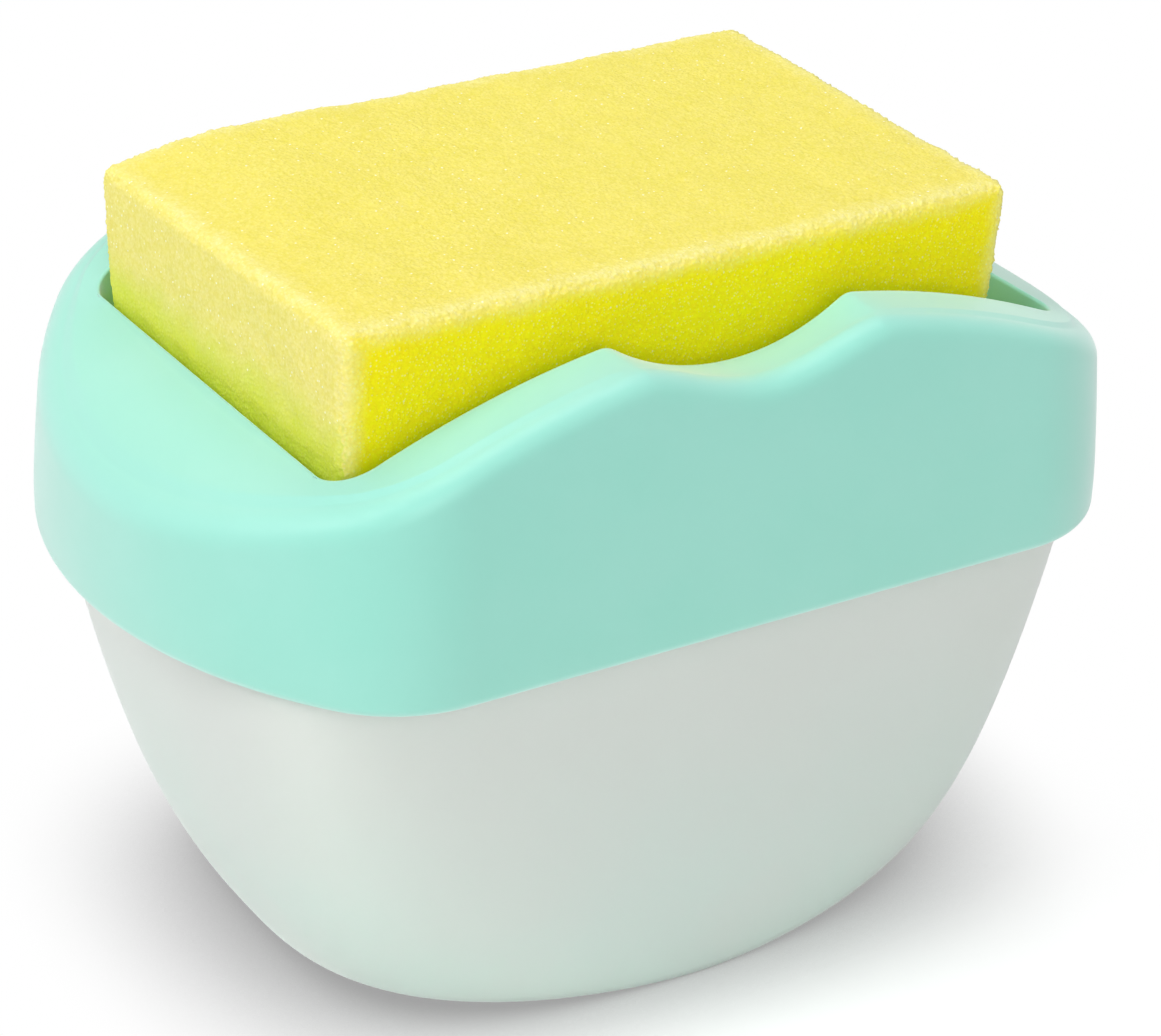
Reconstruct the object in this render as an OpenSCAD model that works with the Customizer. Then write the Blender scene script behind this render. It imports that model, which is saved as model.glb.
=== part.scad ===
// Soap pump caddy: a frosted soap reservoir, a collar that holds a sponge in a well,
// and a press plate under the sponge that works a small soap pump.
// Origin: middle of the reservoir's flat base, on the surface it stands on. +Z up, +X along the caddy.
// The sponge's size sets the tray's, the tray's sets the reservoir's, and that sets the collar's.
// The heights are stacked upwards, from the reservoir's floor through the pump to the sponge.

/* [Sponge] */
// Length of the sponge
sponge_length = 94.3; // [80:0.1:112]
// Width of the sponge
sponge_width = 59.5; // [50:0.1:72]
// Height of the sponge in the middle
sponge_height = 32.1; // [24:0.1:40]
// How much higher the sponge's top is at the back than at the front
sponge_rise = 1.4; // [0:0.1:3]
// Turn of the sponge in the well, in degrees
sponge_turn = 1.5; // [0:0.1:1.6]
// Room for the sponge at each end of the tray
end_room = 4.05; // [3.2:0.05:6]
// Room for the sponge on each side of the tray
side_room = 1.45; // [1.2:0.05:3]

/* [Tray and well] */
// Wall of the tray
tray_wall = 1.8; // [1.4:0.1:2.2]
// Corner radius of the tray
tray_corner_r = 7; // [5.5:0.1:7.6]
// How far the well is longer at the rim than the tray, at each end
well_end_flare = 1.15; // [0.8:0.05:2]
// How far the well is wider at the rim than the tray, on each side
well_side_flare = 1.8; // [1.4:0.05:2.4]
// Corner radius of the well
well_corner_r = 5; // [3:0.5:6]
// Height of the rim above the tray's flange, at the short ends
well_depth = 15; // [12:0.1:19]
// How much higher the four peaks beside the finger scoops are
peak_rise = 10.6; // [7:0.1:13]
// Width of a finger scoop between its peaks
scoop_width = 34; // [26:1:42]
// Depth of a finger scoop below its peaks
scoop_depth = 5.4; // [4:0.1:7]

/* [Reservoir] */
// How far the reservoir is longer than the tray, at each end
reservoir_end_margin = 10.3; // [8.6:0.1:13]
// How far the reservoir is wider than the tray, on each side
reservoir_side_margin = 7.3; // [6.2:0.1:9]
// How far the oval base is shorter than the body, at each end
base_end_inset = 19.2; // [14:0.1:24]
// How far the base is narrower than the body, on each long side
base_inset = 1.8; // [1.2:0.1:3]
// Wall of the reservoir
reservoir_wall = 1.8; // [1.5:0.1:2.1]
// Floor of the reservoir
reservoir_floor = 2.4; // [2:0.1:3]
// Height of the reservoir's lip above the collar's lower edge
lip_height = 7.6; // [6.6:0.1:9]

/* [Collar] */
// How far the collar stands out beyond the reservoir, at each end
collar_end_reach = 7.9; // [6.6:0.1:10]
// How far the collar stands out beyond the reservoir, on each side
collar_side_reach = 6.5; // [5.4:0.1:8]
// Radius of the collar's corners in plan
collar_corner_r = 18.7; // [15.5:0.1:22]
// Wall of the collar
collar_wall = 1.8; // [1.5:0.1:2.1]

/* [Pump] */
// Travel of the press plate
travel = 9; // [7:0.5:11]
// How far the dip tube reaches below the pump
dip_reach = 4.8; // [3:0.1:12]
// Radius of the soap passage in the stem
stem_bore_r = 1.8; // [1.5:0.05:2.1]
// Wall of the stem
stem_wall = 1.7; // [1.4:0.05:2]
// Radius of both check balls
ball_r = 2; // [1.8:0.05:2.2]
// Radius of the spring's wire
wire_r = 0.45; // [0.35:0.05:0.55]
// Turns of the spring
spring_turns = 7; // [5:1:8]

/* [Hidden] */

// Colours
mint = [0.66, 0.89, 0.83];
frosted = [0.86, 0.88, 0.86];
foam_yellow = [0.95, 0.91, 0.3];
pump_white = [0.93, 0.94, 0.93];
seal_grey = [0.55, 0.6, 0.6];
steel = [0.72, 0.73, 0.75];

// Fineness: sides of round parts, and steps of each stretch of an outline
$fn = 64;
end_steps = 5;
corner_steps = 6;
shoulder_steps = 4;
scoop_steps = 5;
side_share = 0.6;
brow_steps = 3;
top_steps = 3;
wire_sides = 6;
rings_a_turn = 12;
right_angle = 90;

// Clearances, and how far a cut runs past what it cuts
slide_gap = 0.05;
push_gap = 0.02;
loose_gap = 0.4;
seal_gap = 0.1;
soft_gap = 0.3;
overrun = 1;

// Radii of the pump, from the soap passage outwards
hub_wall = 2.3;
guide_wall = 0.6;
chamber_wall = 1.6;
stem_r = stem_bore_r + stem_wall;
hub_r = stem_r + hub_wall;
guide_cup_r = hub_r + soft_gap;
chamber_bore_r = guide_cup_r + guide_wall;
chamber_r = chamber_bore_r + chamber_wall;

// Foot of the chamber, dip tube, ball cage and return spring
dip_clear = 1.8;
dip_r = 2.5;
dip_wall = 0.8;
dip_stop = 1.4;
spigot_h = 7;
spigot_wall = 1.5;
chamber_floor_t = 2;
cage_t = 1.2;
cage_wall = 1;
cage_turret_h = 6;
cage_window_w = 1.8;
spring_room = 2;
spring_r = chamber_bore_r - spring_room;
spring_pressed = 9.4;
closed_part = 0.75;
dip_bottom_z = reservoir_floor + dip_clear;
spigot_bottom_z = dip_bottom_z + dip_reach;
chamber_floor_z = spigot_bottom_z + spigot_h;
dip_top_z = chamber_floor_z - dip_stop;
cage_z = chamber_floor_z + chamber_floor_t;
spring_foot_z = cage_z + cage_t;

// Piston and its core
piston_gap = 0.2;
piston_h = 6;
piston_lip_h = 1.2;
piston_groove = 0.9;
stem_foot = 0.6;
core_t = 1.6;
core_shank_h = 12;
core_flute_r = 0.8;
core_flutes = 3;
core_inset = 1.1;
core_r = chamber_bore_r - core_inset;
core_bottom_z = spring_foot_z + spring_pressed + travel;
stem_bottom_z = core_bottom_z + core_t + piston_gap;
piston_bottom_z = stem_bottom_z + stem_foot;
piston_top_z = piston_bottom_z + piston_h;

// Stem guide and wiper
hub_gap = 0.7;
guide_flange_t = 1;
guide_depth = 5.4;
guide_floor_t = 1.2;
wiper_t = 1.1;
wiper_inset = 0.7;
guide_floor_z = piston_top_z + piston_gap;
guide_top_z = guide_floor_z + guide_depth;
wiper_z = guide_floor_z + guide_floor_t;
hub_bottom_z = wiper_z + wiper_t + hub_gap + travel;

// Pump nut, neck and gasket
nut_top_t = 1.8;
nut_wall = 2.4;
nut_lift = 0.8;
nut_grips = 24;
nut_grip_r = 0.7;
chamber_flange_t = 1.2;
gasket_t = 1;
gasket_inset = 0.9;
flange_inset = 0.7;
neck_h = 6;
neck_wall = 4.8;
deck_t = 2.4;
thread_h = 0.6;
thread_w = 1.2;
thread_pitch = 2.2;
thread_lift = 1.8;
guide_flange_reach = 1.7;
guide_flange_r = chamber_r + guide_flange_reach;
chamber_top_z = guide_top_z - guide_flange_t;
nut_top_z = chamber_top_z + nut_top_t;
chamber_flange_z = chamber_top_z - chamber_flange_t;
neck_top_z = chamber_flange_z - gasket_t;
deck_top_z = neck_top_z - neck_h;
deck_z = deck_top_z - deck_t;
neck_bore_r = chamber_r + loose_gap;
neck_r = neck_bore_r + neck_wall;
nut_bore_r = neck_r + thread_h + slide_gap;

// Press plate
stroke_gap = 1.2;
plate_rise = 1;
plate_rib_h = 1.2;
plate_t = 2.2;
plate_skirt = 3;
plate_edge_t = 1.6;
plate_gap = 0.6;
plate_rib_w = 1.4;
plate_rib_l = 34;
plate_rib_pitch = 21;
slot_w = 2.4;
slot_l = 15;
slots_a_side = 5;
slot_pitch = 7;
slot_x = 31;
plate_low_z = nut_top_z + stroke_gap + travel;
plate_floor_z = plate_low_z + plate_t;
plate_top_z = plate_floor_z + plate_rib_h;

// Outlet cap in the middle of the plate, with the top of the stem under it
cap_r = 9;
cap_t = 2;
boss_wall = 1.6;
cap_holes = 6;
cap_hole_r = 0.5;
cap_hole_ring = 1.75;
cap_pin_r = 0.9;
cap_groove_w = 1;
cap_groove_t = 0.6;
stem_stop = 0.4;
ball_bore_h = 5;
cap_floor_z = plate_top_z - cap_t;
stem_top_z = cap_floor_z - stem_stop;
ball_bore_z = stem_top_z - ball_bore_h;

// Check balls and their seats
ball_room = 0.4;
seat_inset = 0.6;
seat_depth = 1;
ball_bore_r = ball_r + ball_room;
seat_r = ball_r - seat_inset;

// Sponge, towards the left end of the tray, and the tray and well round it
sponge_corner_r = 3;
sponge_edge_r = 1.4;
sponge_taper = 1.2;
sponge_left_gap = 0.45;
sponge_shift = end_room - sponge_left_gap;
sponge_bottom_z = plate_top_z + soft_gap;
tray_length = sponge_length + 2 * end_room;
tray_width = sponge_width + 2 * side_room;
well_length = tray_length + 2 * well_end_flare;
well_width = tray_width + 2 * well_side_flare;

// Flange of the tray on the reservoir's lip, and the posts that hold the collar
seal_t = 1;
flange_t = 2;
flange_reach = 1.1;
rib_t = 1.6;
rib_depth = 5;
post_r = 2.2;
post_margin = 2;
post_inset = 11.2;
post_h = 4;
socket_wall = 1.6;
socket_roof = 5.5;
flange_top_z = plate_top_z - plate_rise;
flange_low_z = flange_top_z - flange_t;
lip_z = flange_low_z - seal_t;
plug_low_z = flange_low_z - rib_depth;
plug_inset = reservoir_wall + loose_gap;
post_x = tray_length / 2 + tray_wall + post_margin + post_r;
post_y = tray_width / 2 - post_inset;
socket_r = post_r + push_gap;

// Outlines of the reservoir: oval at the base, nearly a box at the collar
straight_bow = 9000;
oval_steps = 24;
oval_crowding = 1.5;
base_power = 1.9;
top_power = 6;
power_rise = 0.58;
neck_power = 5.4;
neck_inset = 1.2;
shoulder_h = 1.2;
base_round_h = 20;
lower_steps = 8;
reservoir_length = tray_length + 2 * reservoir_end_margin;
reservoir_width = tray_width + 2 * reservoir_side_margin;
base_length = reservoir_length - 2 * base_end_inset;

// Collar: its draft above the widest level, its rounded lower edge and its top
collar_draft = 0.065;
edge_r = 1.5;
widest_h = 4;
brow_r = 3.2;
skin = 2.4;
scoop_soft = 0.8;
scoop_reach = 1.2;
collar_foot_inset = 0.5;
collar_length = reservoir_length + 2 * collar_end_reach;
collar_width = reservoir_width + 2 * collar_side_reach;
collar_bottom_z = lip_z - lip_height;
widest_z = collar_bottom_z + widest_h;
rim_end_z = flange_top_z + well_depth;
rim_peak_z = rim_end_z + peak_rise;
socket_top_z = rim_end_z - socket_roof;

// The bow of the collar's short ends clears the reservoir where that bends most
bend_share = 0.78;
bend_gap = 0.63;
bend_y = reservoir_width / 2 * bend_share;
bend_x = reservoir_length / 2 * pow(1 - pow(bend_share, top_power), 1 / top_power) + collar_wall + bend_gap;
bend_in = collar_length / 2 - bend_x;
collar_bow_r = (bend_y * bend_y + bend_in * bend_in) / (2 * bend_in);

// Finger scoop and arch of the rim
scoop_half = scoop_width / 2;
scoop_r = (scoop_half * scoop_half + scoop_depth * scoop_depth) / (2 * scoop_depth);
arch_r = (pow(well_length / 2, 2) - scoop_half * scoop_half) / (2 * (rim_peak_z - rim_end_z));

// Quarter of an outline: half a bowed end, a round corner, then half a straight side.
// Every quarter has the same number of points, so that any two outlines can be joined.
function corner_x(a, b, bow, r) = a - bow + sqrt(pow(bow - r, 2) - pow(b - r, 2));
function side_stations(x) =
    let (peak = min(scoop_half, x * side_share))
    concat(
        [for (i = [0:shoulder_steps - 1]) x + (peak - x) * i / shoulder_steps],
        [for (i = [0:scoop_steps]) peak * (1 - i / scoop_steps)]);
function quarter(a, b, bow, r) =
    let (cx = corner_x(a, b, bow, r), turn = atan2(b - r, cx - a + bow))
    concat(
        [for (i = [0:end_steps - 1])
            let (t = turn * i / end_steps)
            [a - bow + bow * cos(t), bow * sin(t)]],
        [for (i = [0:corner_steps - 1])
            let (t = turn + (right_angle - turn) * i / corner_steps)
            [cx + r * cos(t), b - r + r * sin(t)]],
        [for (x = side_stations(cx)) [x, b]]);

// The whole outline from its quarter, counter-clockwise from +X
function outline(q) =
    let (n = len(q) - 1)
    concat(
        q,
        [for (i = [n - 1:-1:0]) [-q[i][0], q[i][1]]],
        [for (i = [1:n]) [-q[i][0], -q[i][1]]],
        [for (i = [n - 1:-1:1]) [q[i][0], -q[i][1]]]);
function bowed(a, b, bow, r) = outline(quarter(a, b, bow, r));
function boxed(a, b, r) = bowed(a, b, straight_bow, r);

// An outline at a height, and two outlines mixed point by point
function at_height(points, z) = [for (p = points) [p[0], p[1], z]];
function mixed(p, q, across, down) =
    [for (i = [0:len(p) - 1])
        [p[i][0] + (q[i][0] - p[i][0]) * across,
         p[i][1] + (q[i][1] - p[i][1]) * across,
         p[i][2] + (q[i][2] - p[i][2]) * down]];

// A solid through a list of rings: capped at both ends, or closed on itself
module loft(rings, closed = false) {
    count = len(rings[0]);
    last = len(rings) - 1;
    points = [for (ring = rings, p = ring) p];
    sides = [for (k = [0:closed ? last : last - 1], i = [0:count - 1])
        let (j = (i + 1) % count, m = (k + 1) % (last + 1))
        each [[k * count + i, m * count + i, m * count + j], [k * count + i, m * count + j, k * count + j]]];
    ends = closed ? [] : [[for (i = [0:count - 1]) i], [for (i = [count - 1:-1:0]) last * count + i]];
    polyhedron(points, concat(sides, ends), convexity = 10);
}

// Plan shapes with true arcs
module plan_box(length, width, r) {
    square([length, width - 2 * r], center = true);
    square([length - 2 * r, width], center = true);
    for (x = [-1, 1], y = [-1, 1])
        translate([x * (length / 2 - r), y * (width / 2 - r)])
            circle(r = r);
}
module raised(low, high) {
    translate([0, 0, low])
        linear_extrude(high - low)
            children();
}
module tube(outer, inner, low, high) {
    translate([0, 0, low])
        difference() {
            cylinder(r = outer, h = high - low);
            translate([0, 0, -overrun])
                cylinder(r = inner, h = high - low + 2 * overrun);
        }
}
module drilled(r, low, high) {
    translate([0, 0, low])
        cylinder(r = r, h = high - low);
}

// Reservoir. An oval of a higher power has flatter sides and tighter corners.
// Its points crowd towards the corners, where it bends most.
function oval_angle(i) = let (v = 2 * i / oval_steps - 1) 45 * (1 + sign(v) * pow(abs(v), oval_crowding));
function oval(a, b, power) =
    outline([for (i = [0:oval_steps])
        let (t = oval_angle(i), r = pow(pow(cos(t), power) + pow(sin(t), power), -1 / power))
        [a * r * cos(t), b * r * sin(t)]]);
function base_rounding(z) = 1 - sqrt(1 - pow(1 - min(z / base_round_h, 1), 2));
function reservoir_ring(u, inset) =
    oval(
        base_length / 2 + (reservoir_length - base_length) / 2 * sqrt(u) - inset,
        reservoir_width / 2 - base_inset * base_rounding(u * collar_bottom_z) - inset,
        base_power + (top_power - base_power) * pow(u, power_rise));
function level_u(i) = pow(i / lower_steps, 2);
function reservoir_outer(i) = at_height(reservoir_ring(level_u(i), 0), collar_bottom_z * level_u(i));
function reservoir_inner(i) =
    at_height(reservoir_ring(level_u(i), reservoir_wall),
        reservoir_floor + (collar_bottom_z - reservoir_floor) * level_u(i));
function lip_ring(inset) =
    oval(reservoir_length / 2 - neck_inset - inset, reservoir_width / 2 - neck_inset - inset, neck_power);

module reservoir() {
    color(frosted)
        loft(concat(
            [for (i = [0:lower_steps]) reservoir_outer(i)],
            [at_height(lip_ring(0), collar_bottom_z + shoulder_h),
             at_height(lip_ring(0), lip_z),
             at_height(lip_ring(reservoir_wall), lip_z)],
            [for (i = [lower_steps:-1:0]) reservoir_inner(i)]));
}

// Collar
function arch_z(x) = rim_peak_z - (x * x - scoop_half * scoop_half) / (2 * arch_r);
function rim_z(x) =
    let (far = min(abs(x), well_length / 2))
    far < scoop_half
        ? rim_peak_z - scoop_depth + scoop_r - sqrt(scoop_r * scoop_r - far * far)
        : arch_z(far);
// The arched top away from the rim, where the scoop is only a soft dip
function soft_top_z(x) =
    let (far = abs(x), reach = scoop_half * scoop_reach)
    arch_z(max(far, scoop_half))
        - (far < reach ? scoop_depth * scoop_soft * pow(cos(right_angle * far / reach), 2) : 0);
function collar_ring(inset) =
    bowed(collar_length / 2 - inset, collar_width / 2 - inset, collar_bow_r - inset, collar_corner_r - inset);
function well_ring(grow) = boxed(well_length / 2 + grow, well_width / 2 + grow, well_corner_r + grow);
function rim_ring(grow, lower) = [for (p = well_ring(grow)) [p[0], p[1], rim_z(p[0]) - lower]];
// A ring round the top at an inset from the leaning wall, lowered by a length
function top_ring(inset, lower) =
    [for (p = collar_ring(inset))
        let (z = soft_top_z(p[0]) - lower, pull = collar_draft * (z - widest_z) * 2)
        [p[0] * (1 - pull / collar_length), p[1] * (1 - pull / collar_width), z]];
// The brow: the round edge where the wall turns into the top
function brow_rings() =
    let (low = top_ring(0, brow_r), corner = top_ring(0, 0), high = top_ring(brow_r, 0))
    [for (k = [0:brow_steps])
        let (t = k / brow_steps)
        mixed(mixed(low, corner, t, t), mixed(corner, high, t, t), t, t)];
function top_rings() =
    let (rim = rim_ring(0, 0), brow = top_ring(brow_r, 0))
    [for (k = [1:top_steps])
        let (t = k / top_steps, flat = mixed(brow, rim, t, t))
        [for (i = [0:len(flat) - 1])
            let (sharper = rim[i][2] - soft_top_z(rim[i][0]))
            [flat[i][0], flat[i][1], soft_top_z(flat[i][0]) + sharper * t]]];
function collar_foot(inset) =
    at_height(bowed(well_length / 2 - collar_foot_inset + inset, well_width / 2 - collar_foot_inset + inset,
        straight_bow, well_corner_r + inset), flange_top_z + push_gap);

module collar_skin() {
    loft(concat(
        [at_height(collar_ring(collar_wall), collar_bottom_z),
         at_height(collar_ring(edge_r), collar_bottom_z),
         at_height(collar_ring(edge_r * (1 - sin(45))), collar_bottom_z + edge_r * (1 - sin(45))),
         at_height(collar_ring(0), collar_bottom_z + edge_r),
         at_height(collar_ring(0), widest_z)],
        brow_rings(),
        top_rings(),
        [collar_foot(0),
         collar_foot(collar_wall),
         rim_ring(collar_wall, skin),
         top_ring(collar_wall + brow_r, skin),
         top_ring(collar_wall, skin + brow_r)]),
        closed = true);
}
module collar() {
    color(mint) {
        collar_skin();
        for (x = [-1, 1], y = [-1, 1])
            translate([x * post_x, y * post_y, 0])
                tube(socket_r + socket_wall, socket_r, flange_top_z + push_gap, socket_top_z);
    }
}

// Lid tray: closes the reservoir, carries the pump and guides the press plate
module lip_plan(inset) {
    polygon(lip_ring(inset));
}
module ring_wall(outer_inset, inner_inset, low, high) {
    raised(low, high)
        difference() {
            lip_plan(outer_inset);
            lip_plan(inner_inset);
        }
}
module tray_plan(grow) {
    plan_box(tray_length + 2 * grow, tray_width + 2 * grow, tray_corner_r + grow);
}
module lid_tray() {
    color(mint) {
        difference() {
            union() {
                raised(deck_z, flange_top_z)
                    tray_plan(tray_wall);
                raised(flange_low_z, flange_top_z)
                    lip_plan(-flange_reach);
            }
            raised(deck_top_z, flange_top_z + overrun)
                tray_plan(0);
            drilled(neck_bore_r, deck_z - overrun, deck_top_z + overrun);
        }
        ring_wall(plug_inset, plug_inset + rib_t, plug_low_z, flange_low_z);
        ring_wall(-flange_reach, -soft_gap, plug_low_z, flange_low_z);
        tube(neck_r, neck_bore_r, deck_top_z, neck_top_z);
        for (z = [deck_top_z + thread_lift, deck_top_z + thread_lift + thread_pitch])
            tube(neck_r + thread_h, neck_r - thread_h, z, z + thread_w);
        for (x = [-1, 1], y = [-1, 1])
            translate([x * post_x, y * post_y, 0])
                drilled(post_r, flange_top_z - flange_t / 2, flange_top_z + post_h);
    }
}
module rim_seal() {
    color(seal_grey)
        ring_wall(-seal_gap, plug_inset - seal_gap, lip_z, flange_low_z);
}

// Press plate
module plate_slots() {
    for (x = [-1, 1], k = [0:slots_a_side - 1])
        translate([x * slot_x, (k - (slots_a_side - 1) / 2) * slot_pitch])
            plan_box(slot_l, slot_w, slot_w / 2 - slide_gap);
}
module press_plate() {
    color(mint)
        difference() {
            union() {
                raised(plate_low_z, plate_floor_z)
                    difference() {
                        tray_plan(-plate_gap);
                        plate_slots();
                    }
                raised(plate_low_z - plate_skirt, plate_low_z + plate_t / 2)
                    difference() {
                        tray_plan(-plate_gap);
                        tray_plan(-plate_gap - plate_edge_t);
                    }
                for (x = [-1, 1], y = [-1, 0, 1])
                    translate([x * slot_x, y * plate_rib_pitch])
                        raised(plate_floor_z - plate_rib_h / 2, plate_top_z)
                            plan_box(plate_rib_l, plate_rib_w, plate_rib_w / 2 - slide_gap);
                drilled(cap_r + boss_wall, plate_low_z, plate_top_z);
                drilled(hub_r, hub_bottom_z, plate_low_z + plate_t / 2);
            }
            drilled(cap_r + push_gap, cap_floor_z, plate_top_z + overrun);
            drilled(stem_r + push_gap, hub_bottom_z - overrun, cap_floor_z + overrun);
        }
}
module outlet_cap() {
    color(pump_white)
        difference() {
            union() {
                drilled(cap_r, cap_floor_z, plate_top_z);
                drilled(cap_pin_r, stem_top_z - ball_r / 2, cap_floor_z + cap_t / 2);
            }
            for (k = [0:cap_holes - 1])
                rotate(360 * k / cap_holes) {
                    translate([cap_hole_ring, 0, 0])
                        drilled(cap_hole_r, cap_floor_z - overrun, plate_top_z + overrun);
                    translate([cap_hole_ring, -cap_groove_w / 2, plate_top_z - cap_groove_t])
                        cube([cap_r, cap_groove_w, cap_groove_t + overrun]);
                }
        }
}

// Stem and its check ball
module stem() {
    color(pump_white)
        rotate_extrude()
            polygon([
                [stem_bore_r, stem_bottom_z],
                [stem_r, stem_bottom_z],
                [stem_r, stem_top_z],
                [ball_bore_r, stem_top_z],
                [ball_bore_r, ball_bore_z],
                [seat_r, ball_bore_z - seat_depth],
                [seat_r, ball_bore_z - 2 * seat_depth],
                [stem_bore_r, ball_bore_z - 2 * seat_depth]]);
}
module check_ball(z) {
    color(steel)
        translate([0, 0, z])
            sphere(r = ball_r - push_gap);
}
// Height of a ball's centre above the narrow end of a cone that it rests in
function ball_on_cone(narrow, wide, depth) =
    let (slope = atan2(depth, wide - narrow))
    (ball_r / cos(slope)) - narrow * tan(slope);
module outlet_ball() {
    check_ball(ball_bore_z - seat_depth + ball_on_cone(seat_r, ball_bore_r, seat_depth));
}

// Sponge
module sponge() {
    height = sponge_height;
    function block(k, rise) =
        let (
            up = rise / height,
            drawn_in = sponge_edge_r * (1 - sin(45 * k)) + sponge_taper * (1 - up),
            plan = boxed(sponge_length / 2 - drawn_in, sponge_width / 2 - drawn_in, sponge_corner_r))
        [for (p = plan) [p[0], p[1], sponge_bottom_z + rise + sponge_rise * up * p[1] / sponge_width]];
    function edge_rise(k) = sponge_edge_r * (1 - cos(45 * k));
    color(foam_yellow)
        translate([-sponge_shift, 0, 0])
            rotate(sponge_turn)
                loft([
                    for (k = [0:2]) block(k, edge_rise(k)),
                    for (k = [2:-1:0]) block(k, height - edge_rise(k))]);
}

// Pump body
module pump_nut() {
    bottom = deck_top_z + nut_lift;
    skirt_r = nut_bore_r + nut_wall;
    color(mint)
        difference() {
            union() {
                drilled(skirt_r, bottom, nut_top_z);
                for (k = [0:nut_grips - 1])
                    rotate(360 * k / nut_grips)
                        translate([skirt_r, 0, 0])
                            drilled(nut_grip_r, bottom, chamber_top_z);
            }
            drilled(nut_bore_r, bottom - overrun, chamber_top_z);
            drilled(guide_flange_r + loose_gap, chamber_top_z - overrun, nut_top_z + overrun);
        }
}
module pump_gasket() {
    color(seal_grey)
        tube(neck_r - gasket_inset, chamber_r + push_gap, neck_top_z, chamber_flange_z);
}
module pump_chamber() {
    flange_r = neck_r - flange_inset;
    spigot_r = dip_r + spigot_wall;
    color(pump_white)
        rotate_extrude()
            polygon([
                [dip_r + push_gap, spigot_bottom_z],
                [spigot_r, spigot_bottom_z],
                [spigot_r, chamber_floor_z],
                [chamber_r, chamber_floor_z],
                [chamber_r, chamber_flange_z],
                [flange_r, chamber_flange_z],
                [flange_r, chamber_top_z],
                [chamber_bore_r, chamber_top_z],
                [chamber_bore_r, cage_z],
                [ball_bore_r, cage_z],
                [seat_r, cage_z - seat_depth],
                [seat_r, dip_top_z + push_gap],
                [dip_r + push_gap, dip_top_z + push_gap]]);
}
module stem_guide() {
    color(pump_white)
        rotate_extrude()
            polygon([
                [stem_r + slide_gap, guide_floor_z],
                [chamber_bore_r - push_gap, guide_floor_z],
                [chamber_bore_r - push_gap, chamber_top_z],
                [guide_flange_r, chamber_top_z],
                [guide_flange_r, guide_top_z],
                [guide_cup_r, guide_top_z],
                [guide_cup_r, wiper_z],
                [stem_r + slide_gap, wiper_z]]);
}
module wiper_ring() {
    color(seal_grey)
        tube(guide_cup_r - wiper_inset, stem_r + slide_gap, wiper_z, wiper_z + wiper_t);
}

// Piston
module piston_core() {
    top = stem_bottom_z + core_shank_h;
    color(pump_white)
        difference() {
            union() {
                drilled(core_r, core_bottom_z, core_bottom_z + core_t);
                drilled(stem_bore_r - push_gap, core_bottom_z, top);
            }
            for (k = [0:core_flutes - 1])
                rotate(360 * k / core_flutes)
                    translate([stem_bore_r, 0, 0])
                        drilled(core_flute_r, core_bottom_z - overrun, top + overrun);
        }
}
module piston() {
    outer = chamber_bore_r - slide_gap;
    waist = chamber_bore_r - piston_groove;
    color(seal_grey)
        rotate_extrude()
            polygon([
                [stem_r + push_gap, piston_bottom_z],
                [outer, piston_bottom_z],
                [outer, piston_bottom_z + piston_lip_h],
                [waist, piston_bottom_z + 2 * piston_lip_h],
                [waist, piston_top_z - 2 * piston_lip_h],
                [outer, piston_top_z - piston_lip_h],
                [outer, piston_top_z],
                [stem_r + push_gap, piston_top_z]]);
}

// Return spring: one unbroken wire with closed ends
spring_low_z = spring_foot_z + wire_r;
spring_high_z = core_bottom_z - wire_r;
function spring_rise(turn) =
    let (
        closed_pitch = 3 * wire_r,
        free_turns = spring_turns - 2 * closed_part,
        free_rise = spring_high_z - spring_low_z - 2 * closed_part * closed_pitch)
    turn < closed_part ? turn * closed_pitch
        : turn > spring_turns - closed_part
            ? spring_high_z - spring_low_z - (spring_turns - turn) * closed_pitch
            : closed_part * closed_pitch + (turn - closed_part) / free_turns * free_rise;
module return_spring() {
    function wire_ring(k) =
        let (turn = k / rings_a_turn, angle = 360 * turn, z = spring_low_z + spring_rise(turn))
        [for (s = [0:wire_sides - 1])
            let (t = 360 * s / wire_sides, r = spring_r + wire_r * cos(t))
            [r * cos(angle), r * sin(angle), z + wire_r * sin(t)]];
    color(steel)
        loft([for (k = [spring_turns * rings_a_turn:-1:0]) wire_ring(k)]);
}

// Inlet valve and dip tube
module inlet_ball() {
    check_ball(cage_z - seat_depth + ball_on_cone(seat_r, ball_bore_r, seat_depth));
}
module ball_cage() {
    top = cage_z + cage_turret_h;
    turret_r = ball_bore_r + cage_wall;
    color(pump_white)
        difference() {
            union() {
                drilled(chamber_bore_r - seal_gap, cage_z, spring_foot_z);
                drilled(turret_r, cage_z, top);
            }
            drilled(ball_bore_r, cage_z - overrun, top - cage_wall);
            drilled(seat_r / 2, cage_z, top + overrun);
            for (k = [0, 1])
                rotate(90 * k)
                    translate([-turret_r - overrun, -cage_window_w / 2, spring_foot_z])
                        cube([2 * (turret_r + overrun), cage_window_w, cage_turret_h - cage_t - cage_wall]);
        }
}
module dip_tube() {
    color(frosted)
        tube(dip_r, dip_r - dip_wall, dip_bottom_z, dip_top_z);
}

reservoir();
lid_tray();
collar();
rim_seal();
press_plate();
outlet_cap();
outlet_ball();
sponge();
pump_nut();
pump_gasket();
pump_chamber();
stem_guide();
wiper_ring();
stem();
piston_core();
piston();
return_spring();
inlet_ball();
ball_cage();
dip_tube();
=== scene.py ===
"""Looks of the soap pump caddy: mint collar, frosted reservoir, foam sponge and the pump's plastics.

Lengths are in metres, in the caddy's own frame: the origin is under the middle of the reservoir, +Z is up and
+X runs along the caddy.
"""

import math

import bmesh
import bpy
from mathutils import Matrix, Vector, noise


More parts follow.
